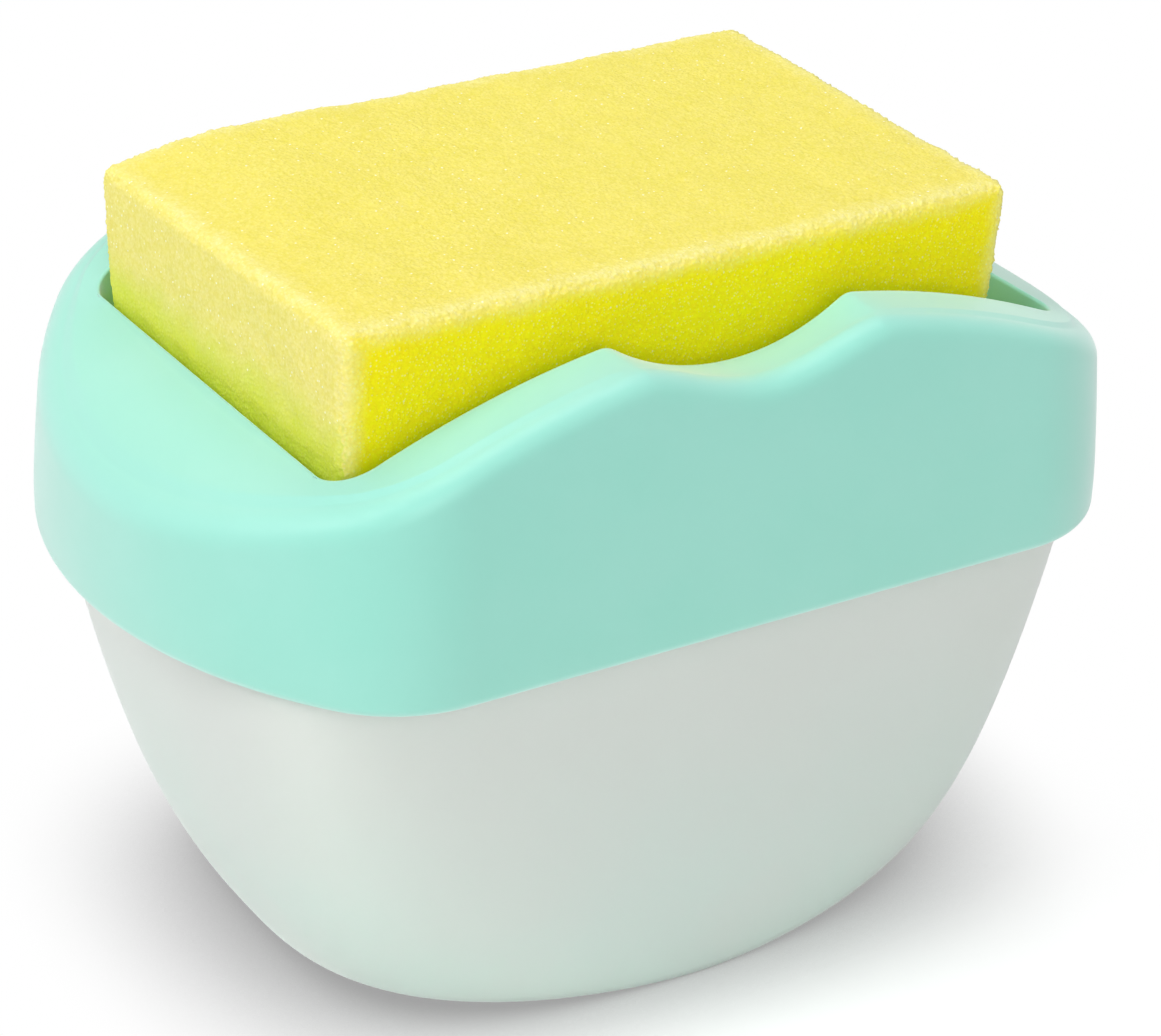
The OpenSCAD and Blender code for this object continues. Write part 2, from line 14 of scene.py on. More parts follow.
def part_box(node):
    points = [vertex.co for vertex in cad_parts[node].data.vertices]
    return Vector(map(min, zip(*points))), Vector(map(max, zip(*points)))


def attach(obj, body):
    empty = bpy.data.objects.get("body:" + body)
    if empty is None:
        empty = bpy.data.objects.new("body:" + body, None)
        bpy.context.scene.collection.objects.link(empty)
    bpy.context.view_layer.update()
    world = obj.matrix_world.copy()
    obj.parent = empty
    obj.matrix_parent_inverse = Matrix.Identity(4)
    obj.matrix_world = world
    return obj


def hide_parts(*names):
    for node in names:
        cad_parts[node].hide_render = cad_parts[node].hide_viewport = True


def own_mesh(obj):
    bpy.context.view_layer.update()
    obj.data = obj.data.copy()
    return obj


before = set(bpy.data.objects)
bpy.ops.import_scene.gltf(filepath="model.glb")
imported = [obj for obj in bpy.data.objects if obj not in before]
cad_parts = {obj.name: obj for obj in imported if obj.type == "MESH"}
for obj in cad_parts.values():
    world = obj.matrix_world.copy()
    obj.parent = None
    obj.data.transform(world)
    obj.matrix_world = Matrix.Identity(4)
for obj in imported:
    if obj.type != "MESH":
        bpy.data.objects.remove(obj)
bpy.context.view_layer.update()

bl_info = {
    "name": "Soap pump caddy",
    "version": (1, 0, 0),
    "blender": (4, 5, 0),
    "location": "View3D > Sidebar > Caddy",
    "description": "Collar, reservoir, sponge and pump finishes of a soap pump caddy, with its studio",
    "category": "Object",
}

COLLAR_LOW, COLLAR_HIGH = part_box("collar")
RESERVOIR_LOW, RESERVOIR_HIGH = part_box("reservoir")
SPONGE_LOW, SPONGE_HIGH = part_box("sponge")
_, TRAY_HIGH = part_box("lid_tray")

# How close points are joined: where a loft closes, and in the loose triangles of a CAD node
MERGE = 1e-7
WELD = 1e-6


def srgb(red, green, blue):
    """A linear colour, with alpha, from the numbers of a colour picker, 0 to 255."""
    def linear(level):
        share = level / 255
        return share / 12.92 if share <= 0.04045 else ((share + 0.055) / 1.055) ** 2.4
    return (linear(red), linear(green), linear(blue), 1.0)


def length(name, description, default):
    return bpy.props.FloatProperty(
        name=name, description=description, default=default, unit="LENGTH", precision=5)


def number(name, description, default):
    return bpy.props.FloatProperty(name=name, description=description, default=default)


def angle(name, description, default):
    return bpy.props.FloatProperty(
        name=name, description=description, default=math.radians(default), subtype="ANGLE", unit="ROTATION")


def colour(name, description, default):
    return bpy.props.FloatVectorProperty(
        name=name, description=description, default=default, subtype="COLOR", size=4, min=0, max=1)


class CollarSettings(bpy.types.PropertyGroup):
    """Sizes and colours of the collar."""

    well_length: length("Well length", "Length of the well at the rim", 0.1047)
    well_width: length("Well width", "Width of the well at the rim", 0.066)
    well_corner: length("Well corner", "Corner radius of the well", 0.005)
    corner: length("Corner", "Radius of the collar's corners in plan", 0.0187)
    bow: length("Bow", "Radius of the bow of the short ends in plan", 0.06016)
    peak_rise: length("Peak rise", "How much higher the peaks are than the ends of the rim", 0.0106)
    scoop_width: length("Scoop width", "Width of a finger scoop between its peaks", 0.034)
    scoop_depth: length("Scoop depth", "Depth of a finger scoop below its peaks", 0.0054)
    peak_round: length("Peak rounding", "How softly a peak turns into its scoop", 0.0009)
    widest: length("Widest", "Height of the widest level above the lower edge", 0.004)
    draft: number("Draft", "How much the wall leans in above its widest level", 0.065)
    brow: length("Brow", "Rounding where the wall turns into the top", 0.0032)
    edge: length("Edge", "Rounding of the lower edge", 0.0015)
    rim: length("Rim", "Rounding of the well's rim", 0.0005)
    wall: length("Wall", "Wall of the collar", 0.0018)
    skin: length("Skin", "Thickness of the top of the collar", 0.0024)
    post_height: length("Post height", "Height of the tray's posts above its flange", 0.004)
    mint: colour("Mint", "Colour of the mint plastic", srgb(149, 226, 208))
    mint_pale: colour("Pale mint", "Mint plastic where it is a little milkier", srgb(153, 227, 210))


class ReservoirSettings(bpy.types.PropertyGroup):
    """Sizes and colours of the reservoir."""

    base_length: length("Base length", "Length of the oval base", 0.0846)
    base_inset: length("Base inset", "How far the base is narrower than the body, on each side", 0.0018)
    base_round: length("Base rounding", "Height over which the long sides round into the base", 0.020)
    base_power: number("Base power", "How square the base is: 2 is an ellipse", 1.9)
    top_power: number("Top power", "How square the outline is at the collar", 6)
    power_rise: number("Power rise", "How soon the outline gets square on the way up", 0.58)
    neck_inset: length("Neck inset", "How far the neck steps in under the lid", 0.0012)
    neck_power: number("Neck power", "How square the neck is", 5.4)
    shoulder: length("Shoulder", "Height of the step below the neck", 0.0012)
    wall: length("Wall", "Wall of the reservoir", 0.0018)
    floor: length("Floor", "Floor of the reservoir", 0.0024)
    frosted: colour("Frosted", "Colour of the frosted plastic", srgb(232, 239, 231))
    # Towards the bottom the frosted plastic turns a little greener
    filled: colour("Lower tint", "Colour of the frosted plastic towards the bottom, a little greener", srgb(221, 242, 230))
    tint_full_below: length("Tint full below", "Height up to which the lower tint is full", 0.012)
    tint_gone_above: length("Tint gone above", "Height at which the lower tint has faded", 0.052)


class SpongeSettings(bpy.types.PropertyGroup):
    """Sizes and colours of the sponge."""

    long: length("Length", "Length of the sponge", 0.0961)
    wide: length("Width", "Width of the sponge", 0.0595)
    swell: length("Swell", "How far the soft top stands above the sponge's nominal height", 0.0006)
    turn: angle("Turn", "Turn of the sponge in the well", 1.5)
    rise: length("Rise", "How much higher the top is at the back than at the front", 0.0019)
    taper: length("Taper", "How much narrower the sponge is at its foot, on each side", 0.0018)
    tuck: length("Tuck", "How far the ends are squeezed in where they go down into the tray", 0.0008)
    edge: length("Edge", "Rounding of the edges", 0.0018)
    spacing: length("Spacing", "Distance between the points of the foam's surface", 0.0003)
    pit_pitch: length("Pit pitch", "Distance between the larger pits", 0.0007)
    pit_depth: length("Pit depth", "Depth of the larger pits", 0.00005)
    fuzz: length("Fuzz", "Height of the loose ends of cut cells", 0.00008)
    edge_fuzz: length("Edge fuzz", "Height of the loose ends along the edges", 0.0003)
    wave: length("Wave", "How far the cut faces wander", 0.00035)
    droop: length("Droop", "How far the back left corner hangs", 0.0021)
    # Painted light and shade: the top and the ends get a paler, lit copy of the foam's colour, the long sides
    # a deeper, shaded copy
    lit_foam: colour("Painted lit foam", "Foam colour painted lit, on its top and ends", srgb(236, 223, 126))
    shaded_foam: colour("Painted shaded foam", "Foam colour painted shaded, on its long sides", srgb(255, 238, 0))
    # Painted light: this pale colour lights up the edges and the ends; the pale fibres take it too
    fibre_and_edge_light: colour("Pale fibres and painted light", "Colour of the pale fibres, and of the light painted on the edges and the ends", srgb(242, 236, 178))
    hollow: colour("Hollows", "Colour between the cell walls", srgb(214, 200, 36))
    # Painted shade: the foot of the ends, by the well's rim, is darker and greener
    foot_shade: colour("Painted foot shade", "Shade painted at the foot of the ends, greener from the mint", srgb(200, 222, 54))
    sparkle: colour("Sparkle", "Colour of the cell walls that catch the light", srgb(255, 253, 232))


class StageSettings(bpy.types.PropertyGroup):
    """Camera, floor and light."""

    azimuth: angle("Azimuth", "Direction of the camera round the caddy", -33.137)
    elevation: angle("Elevation", "Height of the camera above the horizon", 27.34)
    roll: angle("Roll", "Tilt of the camera about its own axis", 2.363)
    distance: length("Distance", "Distance from the camera to its target", 0.463768)
    lens: number("Lens", "Focal length on a sensor 36 mm wide, in millimetres", 110.196)
    target: bpy.props.FloatVectorProperty(
        name="Target", description="Point that the camera looks at", default=(0.001427, -0.000881, 0.048814),
        subtype="TRANSLATION", unit="LENGTH")
    key: number("Key", "Power of the large lamp at the upper left, in watts", 6.9)
    top: number("Top", "Power of the lamp overhead, in watts", 8.7)
    fill: number("Fill", "Power of the lamp beside the camera, in watts", 8.0)
    world: number("World", "Strength of the light from all round", 0.25)


class PumpSettings(bpy.types.PropertyGroup):
    """Colours of the pump."""

    natural: colour("Natural plastic", "Colour of the pump's white plastic", srgb(232, 235, 232))
    rubber: colour("Rubber", "Colour of the seals", srgb(128, 138, 138))
    steel: colour("Steel", "Colour of the spring and the balls", srgb(196, 198, 202))
    tube: colour("Tube", "Colour of the dip tube", srgb(222, 230, 228))
    edge: length("Edge", "Rounding of the moulded edges", 0.0003)
    travel: length("Travel", "How far the press plate goes down, and the spring with it", 0.009)


# Shader arithmetic

class Flow:
    """A socket of a material, with the sums that the finishes are written in."""

    def __init__(self, finish, socket):
        self.finish = finish
        self.socket = socket

    def _sum(self, operation, first, second):
        return self.finish.flow("ShaderNodeMath", 0, {"operation": operation}, {0: first, 1: second})

    def __add__(self, other):
        return self._sum("ADD", self, other)

    def __sub__(self, other):
        return self._sum("SUBTRACT", self, other)

    def __rsub__(self, other):
        return self._sum("SUBTRACT", other, self)

    def __mul__(self, other):
        return self._sum("MULTIPLY", self, other)

    def least(self, other):
        return self._sum("MINIMUM", self, other)

    def most(self, other):
        return self._sum("MAXIMUM", self, other)

    def size(self):
        """The value without its sign."""
        return self._sum("ABSOLUTE", self, 0.0)

    def above(self, limit):
        return self._sum("GREATER_THAN", self, limit)

    def ramp(self, low, high):
        """0 below low, 1 above high and a soft step between them."""
        settings = {"interpolation_type": "SMOOTHSTEP"}
        values = {"Value": self, "From Min": low, "From Max": high}
        return self.finish.flow("ShaderNodeMapRange", "Result", settings, values)


class Finish:
    """A new material or world, and the nodes that it is made of."""

    def __init__(self, owner):
        owner.use_nodes = True
        self.owner = owner
        self.tree = owner.node_tree
        self.tree.nodes.clear()

    def add(self, kind, settings=None, values=None):
        """A new node: its settings come first, then the values or links of its sockets."""
        node = self.tree.nodes.new(kind)
        for name, value in (settings or {}).items():
            setattr(node, name, value)
        for name, value in (values or {}).items():
            if isinstance(value, Flow):
                self.tree.links.new(value.socket, node.inputs[name])
            else:
                node.inputs[name].default_value = value
        return node

    def flow(self, kind, output, settings=None, values=None):
        return Flow(self, self.add(kind, settings, values).outputs[output])

    def place(self, centre=(0, 0, 0), turn=0.0):
        """Object coordinates about a centre, turned back by an angle."""
        here = self.flow("ShaderNodeTexCoord", "Object")
        return self.flow("ShaderNodeMapping", "Vector", {"vector_type": "TEXTURE"},
                         {"Vector": here, "Location": centre, "Rotation": (0, 0, turn)})

    def parts(self, vector):
        """The three numbers of a vector."""
        node = self.add("ShaderNodeSeparateXYZ", None, {"Vector": vector})
        return [Flow(self, node.outputs[k]) for k in range(3)]

    def noise(self, pitch, detail=2.0, vector=None, rough=0.5):
        """Soft noise from 0 to 1 whose lumps are about pitch apart."""
        values = {"Vector": vector or self.place(), "Scale": 1 / pitch, "Detail": detail, "Roughness": rough}
        return self.flow("ShaderNodeTexNoise", 0, None, values)

    def mix(self, first, second, share):
        """Two colours mixed."""
        return self.flow("ShaderNodeMix", 2, {"data_type": "RGBA"}, {0: share, 6: first, 7: second})

    def bump(self, height, distance, strength=1.0):
        """A normal from a height between 0 and 1 that stands distance proud."""
        values = {"Height": height, "Distance": distance, "Strength": strength}
        return self.flow("ShaderNodeBump", "Normal", None, values)

    def surface(self, values):
        """Ends the material in one Principled surface."""
        return self.end(self.flow("ShaderNodeBsdfPrincipled", "BSDF", None, values))

    def end(self, shader):
        self.add("ShaderNodeOutputMaterial", None, {"Surface": shader})
        return self.owner


# Plastics: the pitch of their clouds, scuffs and grain, and how far the grain stands out
CLOUD_PITCH = 0.018
SCUFF_PITCH = 0.004
MOULD_GRAIN = 0.00022
FROST_CLOUD_PITCH = 0.025
FROST_GRAIN = 0.00025
GRAIN_RELIEF = 0.000006

# Rubber and steel: the pitch of their marks, and how far these stand out
BLOOM_PITCH = 0.002
RUBBER_GRAIN = 0.0002
RUBBER_RELIEF = 0.00001
STEEL_GRAIN = 0.0003
STEEL_RELIEF = 0.000002


def new_finish(name):
    return Finish(bpy.data.materials.new(name))


def toned(tint, factor):
    """A colour made paler or duller by a factor."""
    return tuple(min(1.0, level * factor) for level in tint[:3]) + (1.0,)


def moulded_plastic(name, plain, milky, roughness=0.46, haze=0.0):
    """Injection moulded plastic: faint clouds in the colour, and the fine grain of the mould."""
    finish = new_finish(name)
    clouds = finish.noise(CLOUD_PITCH, 3.0).ramp(0.35, 0.7)
    grains = finish.noise(MOULD_GRAIN, 3.0)
    scuffs = finish.noise(SCUFF_PITCH, 4.0).ramp(0.5, 0.75)
    return finish.surface({
        "Base Color": finish.mix(plain, milky, clouds),
        "Roughness": grains * 0.08 + scuffs * 0.05 + (roughness - 0.06),
        "Normal": finish.bump(grains, GRAIN_RELIEF),
        "Subsurface Weight": 0.12,
        "Subsurface Radius": (1.0, 1.0, 1.0),
        "Subsurface Scale": 0.002,
        "Sheen Weight": haze,
        "Sheen Roughness": 0.6,
        "IOR": 1.48,
    })


def frosted_plastic(name, tint, low_tint=None, low=0.0, high=1.0):
    """Natural plastic, frosted by the mould: it lets light through, and may turn to a second tint towards the
    bottom.
    """
    finish = new_finish(name)
    clouds = finish.noise(FROST_CLOUD_PITCH, 3.0).ramp(0.3, 0.75)
    grains = finish.noise(FROST_GRAIN, 3.0)
    deeper = toned(tint, 0.97)
    height = finish.parts(finish.place())[2]
    body = finish.mix(low_tint or tint, tint, height.ramp(low, high))
    return finish.surface({
        "Base Color": finish.mix(body, deeper, clouds * 0.5),
        "Roughness": grains * 0.08 + 0.42,
        "Sheen Weight": 0.5,
        "Sheen Roughness": 0.3,
        "Normal": finish.bump(grains, GRAIN_RELIEF),
        "Subsurface Weight": 1.0,
        "Subsurface Radius": (1.0, 1.0, 1.0),
        "Subsurface Scale": 0.0035,
        "IOR": 1.49,
    })


def rubber(name, tint):
    """Matt moulded rubber with a faint bloom."""
    finish = new_finish(name)
    bloom = finish.noise(BLOOM_PITCH, 4.0).ramp(0.45, 0.75)
    grains = finish.noise(RUBBER_GRAIN, 2.0)
    paler = toned(tint, 1.25)
    return finish.surface({
        "Base Color": finish.mix(tint, paler, bloom),
        "Roughness": grains * 0.1 + 0.62,
        "Normal": finish.bump(grains, RUBBER_RELIEF),
    })


def drawn_steel(name, tint):
    """Bright steel wire or a ground ball, with the faint marks of its drawing or grinding."""
    finish = new_finish(name)
    marks = finish.noise(STEEL_GRAIN, 4.0)
    duller = toned(tint, 0.82)
    return finish.surface({
        "Base Color": finish.mix(tint, duller, marks.ramp(0.4, 0.7)),
        "Metallic": 1.0,
        "Roughness": marks * 0.12 + 0.22,
        "Normal": finish.bump(marks, STEEL_RELIEF),
    })


# Foam: the pitch of its marks, how far the painted edge light and the painted foot shade reach, and how
# strongly they show
CELL_PITCH = 0.00046
LUMP_PITCH = 0.0008
PATCH_PITCH = 0.006
GLINT_PITCH = 0.0009
GLINT_CHOICE = 0.74
FACING_RAMP = (0.4, 0.95)
FRAY_PITCH = 0.0035
FRAY_WANDER = 0.0026
EDGE_LIGHT_REACH = (-0.0003, 0.0042)
EDGE_LIGHT_SHARE = 0.85
END_LIGHT_SHARE = 0.45
FOOT_SHADE_PITCH = 0.005
FOOT_SHADE_WANDER = 0.005
FOOT_SHADE_REACH = (0.0095, 0.019)
FOOT_SHADE_SHARE = 0.75
CELL_HOLLOW = 0.18
LUMP_HOLLOW = 0.22
PATCH_SHARE = 0.08
FIBRE_SHARE = 0.2
FIBRE_SIDE_SHARE = 0.22
FOAM_RELIEF = 0.0003


def foam(name, sponge, centre, top):
    """Fine open-cell foam: small cells, light painted on its edges, top and ends, shade painted on its long
    sides and at its foot, a painted glow and a few glints.
    """
    finish = new_finish(name)
    local = finish.place(centre, sponge.turn)
    x, y, z = finish.parts(local)
    end_gap = sponge.long / 2 - x.size()
    side_gap = sponge.wide / 2 - y.size()
    top_gap = top - z
    # The middle one of the three distances to the faces is the distance to the nearest edge
    edge_gap = end_gap.least(side_gap).most(end_gap.most(side_gap).least(top_gap))
    frayed = edge_gap + (finish.noise(FRAY_PITCH, 4.0, local) - 0.5) * FRAY_WANDER
    # Painted highlight: a pale band along every edge, where the thin strands would catch light from all round
    edge_light = 1 - frayed.ramp(*EDGE_LIGHT_REACH)
    facing = finish.parts(finish.flow("ShaderNodeNewGeometry", "Normal"))
    long_side = facing[1].size().ramp(*FACING_RAMP)
    end_face = facing[0].size().ramp(*FACING_RAMP)
    cells = finish.flow("ShaderNodeTexVoronoi", "Distance", None, {"Vector": local, "Scale": 1 / CELL_PITCH})
    lumps = finish.noise(LUMP_PITCH, 4.0, local, 0.65)
    patches = finish.noise(PATCH_PITCH, 3.0, local).ramp(0.35, 0.7)
    points = finish.add("ShaderNodeTexVoronoi", None, {"Vector": local, "Scale": 1 / GLINT_PITCH})
    chosen = finish.parts(Flow(finish, points.outputs["Color"]))[0].above(GLINT_CHOICE)
    glint = chosen * (1 - Flow(finish, points.outputs["Distance"]).ramp(0.08, 0.2))
    # Painted light: the edges and both ends are mixed towards a pale colour, as if lit
    painted_light = (edge_light * EDGE_LIGHT_SHARE).most(end_face * END_LIGHT_SHARE)
    # Painted light and shade by facing: the top and the ends take the lit copy, the long sides the shaded
    # copy
    face = finish.mix(sponge.lit_foam, sponge.shaded_foam, long_side)
    # Between the cell walls the eye looks a little deeper into the foam
    hollows = cells.ramp(0.2, 0.6) * CELL_HOLLOW + lumps.ramp(0.42, 0.6) * LUMP_HOLLOW
    lit_painted = finish.mix(face, sponge.fibre_and_edge_light, painted_light)
    pitted = finish.mix(lit_painted, sponge.hollow, (hollows + patches * PATCH_SHARE) * (1 - long_side * 0.2))
    # Painted shade: the foot of the ends, down by the rim, turns darker and greener, as shade with bounce
    # light from the mint
    depth = top_gap + (finish.noise(FOOT_SHADE_PITCH, 4.0, local) - 0.5) * FOOT_SHADE_WANDER
    foot_shade = depth.ramp(*FOOT_SHADE_REACH) * (1 - long_side) * FOOT_SHADE_SHARE
    foot_shaded = finish.mix(pitted, sponge.foot_shade, foot_shade)
    fibres = (1 - cells.ramp(0.1, 0.34)) * (long_side * FIBRE_SIDE_SHARE + FIBRE_SHARE)
    webbed = finish.mix(foot_shaded, sponge.fibre_and_edge_light, fibres)
    return finish.surface({
        "Base Color": finish.mix(webbed, sponge.sparkle, glint * (1 - long_side * 0.5)),
        "Roughness": 0.9 - glint * 0.5,
        "Normal": finish.bump(lumps * 0.6 - cells * 0.6, FOAM_RELIEF, 0.7),
        "Specular IOR Level": 0.25,
        "Subsurface Weight": 0.35,
        "Subsurface Radius": (1.0, 0.95, 0.2),
        "Subsurface Scale": 0.0022,
        # Painted glow: the foam gives off a little light in its shaded colour, which brightens its shaded
        # sides
        "Emission Color": sponge.shaded_foam,
        "Emission Strength": 0.12,
    })


# Outlines and lofts

END_STEPS = 18
CORNER_STEPS = 22
SHOULDER_STEPS = 20
SCOOP_STEPS = 20
OVAL_STEPS = 72
PEAK_SHARE = 0.6
CROWDING = 1.5
STRAIGHT_BOW = 9.0


def quarter(half_x, half_y, bow, corner, scoop_half):
    """A quarter of an outline: half a bowed end, a round corner, then half a straight side.

    Its points crowd round the peak beside the scoop. Every quarter has the same number of points.
    """
    corner_x = half_x - bow + math.sqrt((bow - corner) ** 2 - (half_y - corner) ** 2)
    turn = math.atan2(half_y - corner, corner_x - half_x + bow)
    peak = min(scoop_half, corner_x * PEAK_SHARE)
    points = []
    for i in range(END_STEPS):
        t = turn * i / END_STEPS
        points.append((half_x - bow + bow * math.cos(t), bow * math.sin(t)))
    for i in range(CORNER_STEPS):
        t = turn + (math.pi / 2 - turn) * i / CORNER_STEPS
        points.append((corner_x + corner * math.cos(t), half_y - corner + corner * math.sin(t)))
    for i in range(SHOULDER_STEPS):
        left = (1 - i / SHOULDER_STEPS) ** CROWDING
        points.append((peak + (corner_x - peak) * left, half_y))
    for i in range(SCOOP_STEPS + 1):
        points.append((peak * (1 - (i / SCOOP_STEPS) ** CROWDING), half_y))
    return points


def whole(points):
    """The whole outline from its quarter, counter-clockwise from +X."""
    inner = points[1:-1]
    return (points + [(-x, y) for x, y in reversed(points[:-1])]
            + [(-x, -y) for x, y in points[1:]] + [(x, -y) for x, y in reversed(inner)])


def oval(half_x, half_y, power):
    """An oval of a higher power has flatter sides and tighter corners, where its points crowd."""
    points = []
    for i in range(OVAL_STEPS + 1):
        v = 2 * i / OVAL_STEPS - 1
        t = math.pi / 4 * (1 + math.copysign(abs(v) ** CROWDING, v))
        cos, sin = max(0.0, math.cos(t)), max(0.0, math.sin(t))
        r = (cos ** power + sin ** power) ** (-1 / power)
        points.append((half_x * r * cos, half_y * r * sin))
    return whole(points)


def lifted(points, height):
    return [Vector((x, y, height)) for x, y in points]


def mixed(first, second, across, up):
    """Two rings mixed point by point: across in plan, up in height."""
    return [Vector((p.x + (q.x - p.x) * across, p.y + (q.y - p.y) * across, p.z + (q.z - p.z) * up))
            for p, q in zip(first, second)]


def loft(bm, rings, closed=False):
    """Extrudes a ring of edges through all the rings in turn, and returns the first and the last loop."""
    count = len(rings[0])
    verts = [bm.verts.new(p) for p in rings[0]]
    loop = [bm.edges.new((verts[i], verts[(i + 1) % count])) for i in range(count)]
    first = list(verts)
    following = rings[1:] + ([rings[0]] if closed else [])
    for ring in following:
        made = bmesh.ops.extrude_edge_only(bm, edges=loop)["geom"]
        fresh = {item for item in made if isinstance(item, bmesh.types.BMVert)}
        verts = [next(e.other_vert(v) for e in v.link_edges if e.other_vert(v) in fresh) for v in verts]
        loop = [bm.edges.get((verts[i], verts[(i + 1) % count])) for i in range(count)]
        for vert, point in zip(verts, ring):
            vert.co = point
    if closed:
        bmesh.ops.remove_doubles(bm, verts=first + verts, dist=MERGE)
    return first, verts


def close_with_pole(bm, verts, centre):
    """Closes an end with faces that meet in its centre."""
    count = len(verts)
    loop = [bm.edges.get((verts[i], verts[(i + 1) % count])) for i in range(count)]
    made = bmesh.ops.extrude_edge_only(bm, edges=loop)["geom"]
    fresh = [item for item in made if isinstance(item, bmesh.types.BMVert)]
    bmesh.ops.pointmerge(bm, verts=fresh, merge_co=centre)


def finished(bm, name, materials):
    """A piece from a bmesh: its object at the origin, with its place in its mesh."""
    bmesh.ops.recalc_face_normals(bm, faces=bm.faces)
    mesh = bpy.data.meshes.new(name)
    bm.to_mesh(mesh)
    bm.free()
    mesh.shade_smooth()
    for material in materials:
        mesh.materials.append(material)
    piece = bpy.data.objects.new(name, mesh)
    bpy.context.scene.collection.objects.link(piece)
    return piece


# Collar

EDGE_STEPS = 8
WALL_STEPS = 8
BROW_STEPS = 10
TOP_STEPS = 12
RIM_STEPS = 5
INNER_STEPS = 5
UNDER_STEPS = 8
SCOOP_SOFT = 0.8
SCOOP_REACH = 1.2
FOOT_INSET = 0.0005
SEAT_GAP = 0.00002
LEAN_POWER = 1.3


class CollarForm:
    """The heights and rings that the collar is lofted through."""

    def __init__(self, sizes):
        self.s = sizes
        self.half_x = (COLLAR_HIGH.x - COLLAR_LOW.x) / 2
        self.half_y = (COLLAR_HIGH.y - COLLAR_LOW.y) / 2
        self.low = COLLAR_LOW.z
        self.peak = COLLAR_HIGH.z
        self.well_x, self.well_y = sizes.well_length / 2, sizes.well_width / 2
        self.scoop = sizes.scoop_width / 2
        self.widest = self.low + sizes.widest
        self.scoop_r = (self.scoop ** 2 + sizes.scoop_depth ** 2) / (2 * sizes.scoop_depth)
        self.arch_r = (self.well_x ** 2 - self.scoop ** 2) / (2 * sizes.peak_rise)

    def arch_z(self, x):
        return self.peak - (x * x - self.scoop ** 2) / (2 * self.arch_r)

    def rim_z(self, x):
        """Height of the rim: the arch and the scoop, with a soft turn from one to the other."""
        far = min(abs(x), self.well_x)
        reach = min(far, self.scoop * SCOOP_REACH)
        arch = self.arch_z(far)
        scoop = self.peak - self.s.scoop_depth + self.scoop_r - math.sqrt(self.scoop_r ** 2 - reach ** 2)
        if far > reach:
            return arch
        blend = max(self.s.peak_round - abs(arch - scoop), 0) / self.s.peak_round
        return min(arch, scoop) - blend * blend * self.s.peak_round / 4

    def soft_top_z(self, x):
        """Height of the arched top away from the rim, where the scoop is only a soft dip."""
        far, reach = abs(x), self.scoop * SCOOP_REACH
        dip = self.s.scoop_depth * SCOOP_SOFT * math.cos(math.pi / 2 * far / reach) ** 2 if far < reach else 0
        return self.arch_z(max(far, self.scoop)) - dip

    def wall_plan(self, inset):
        return whole(quarter(self.half_x - inset, self.half_y - inset, self.s.bow - inset,
                             self.s.corner - inset, self.scoop))

    def well_plan(self, grow):
        return whole(quarter(self.well_x + grow, self.well_y + grow, STRAIGHT_BOW,
                             self.s.well_corner + grow, self.scoop))

    def rim(self, grow, lower):
        return [Vector((x, y, self.rim_z(x) - lower)) for x, y in self.well_plan(grow)]

    def over(self, inset, lower):
        """A ring round the top at an inset from the leaning wall, lowered by a length."""
        ring = []
        for x, y in self.wall_plan(inset):
            z = self.soft_top_z(x) - lower
            pull = self.s.draft * (z - self.widest)
            ring.append(Vector((x * (1 - pull / self.half_x), y * (1 - pull / self.half_y), z)))
        return ring

    def wall(self):
        """From inside the lower edge, round it and up to the brow."""
        edge = self.s.edge
        rings = [lifted(self.wall_plan(self.s.wall), self.low)]
        for k in range(EDGE_STEPS + 1):
            t = math.pi / 2 * k / EDGE_STEPS
            inset, rise = edge * (1 - math.sin(t)), edge * (1 - math.cos(t))
            rings.append(lifted(self.wall_plan(inset), self.low + rise))
        widest = lifted(self.wall_plan(0), self.widest)
        rings.append(mixed(rings[-1], widest, 0.5, 0.5))
        rings.append(widest)
        brow = self.over(0, self.s.brow)
        # The wall leans in gently at first, so that its widest level shows no line
        for k in range(1, WALL_STEPS + 1):
            t = k / WALL_STEPS
            rings.append(mixed(widest, brow, t ** LEAN_POWER, t))
        return rings

    def brow(self):
        """The round edge where the wall turns into the top."""
        low, corner, high = self.over(0, self.s.brow), self.over(0, 0), self.over(self.s.brow, 0)
        rings = []
        for k in range(1, BROW_STEPS + 1):
            t = k / BROW_STEPS
            rings.append(mixed(mixed(low, corner, t, t), mixed(corner, high, t, t), t, t))
        return rings

    def between(self, brow, rim, t, lower):
        """A ring of the top at a share t of the way from the brow to the rim, lowered by a length."""
        ring = mixed(brow, rim, t, t)
        for point, edge in zip(ring, rim):
            sharper = self.rim_z(edge.x) - self.soft_top_z(min(abs(edge.x), self.well_x))
            point.z = self.soft_top_z(point.x) + sharper * t - lower
        return ring

    def top(self):
        """From the brow over the top to the rim, and round it into the well."""
        brow, rim = self.over(self.s.brow, 0), self.rim(self.s.rim, 0)
        rings = [self.between(brow, rim, k / TOP_STEPS, 0) for k in range(1, TOP_STEPS + 1)]
        for k in range(1, RIM_STEPS + 1):
            t = math.pi / 2 * k / RIM_STEPS
            rings.append(self.rim(self.s.rim * (1 - math.sin(t)), self.s.rim * (1 - math.cos(t))))
        return rings

    def foot(self, inset):
        x, y = self.well_x - FOOT_INSET + inset, self.well_y - FOOT_INSET + inset
        plan = whole(quarter(x, y, STRAIGHT_BOW, self.s.well_corner + inset, self.scoop))
        return lifted(plan, self.seat_z())

    def seat_z(self):
        """Just above the tray's flange, which the inner wall stands on."""
        return TRAY_HIGH.z - self.s.post_height + SEAT_GAP

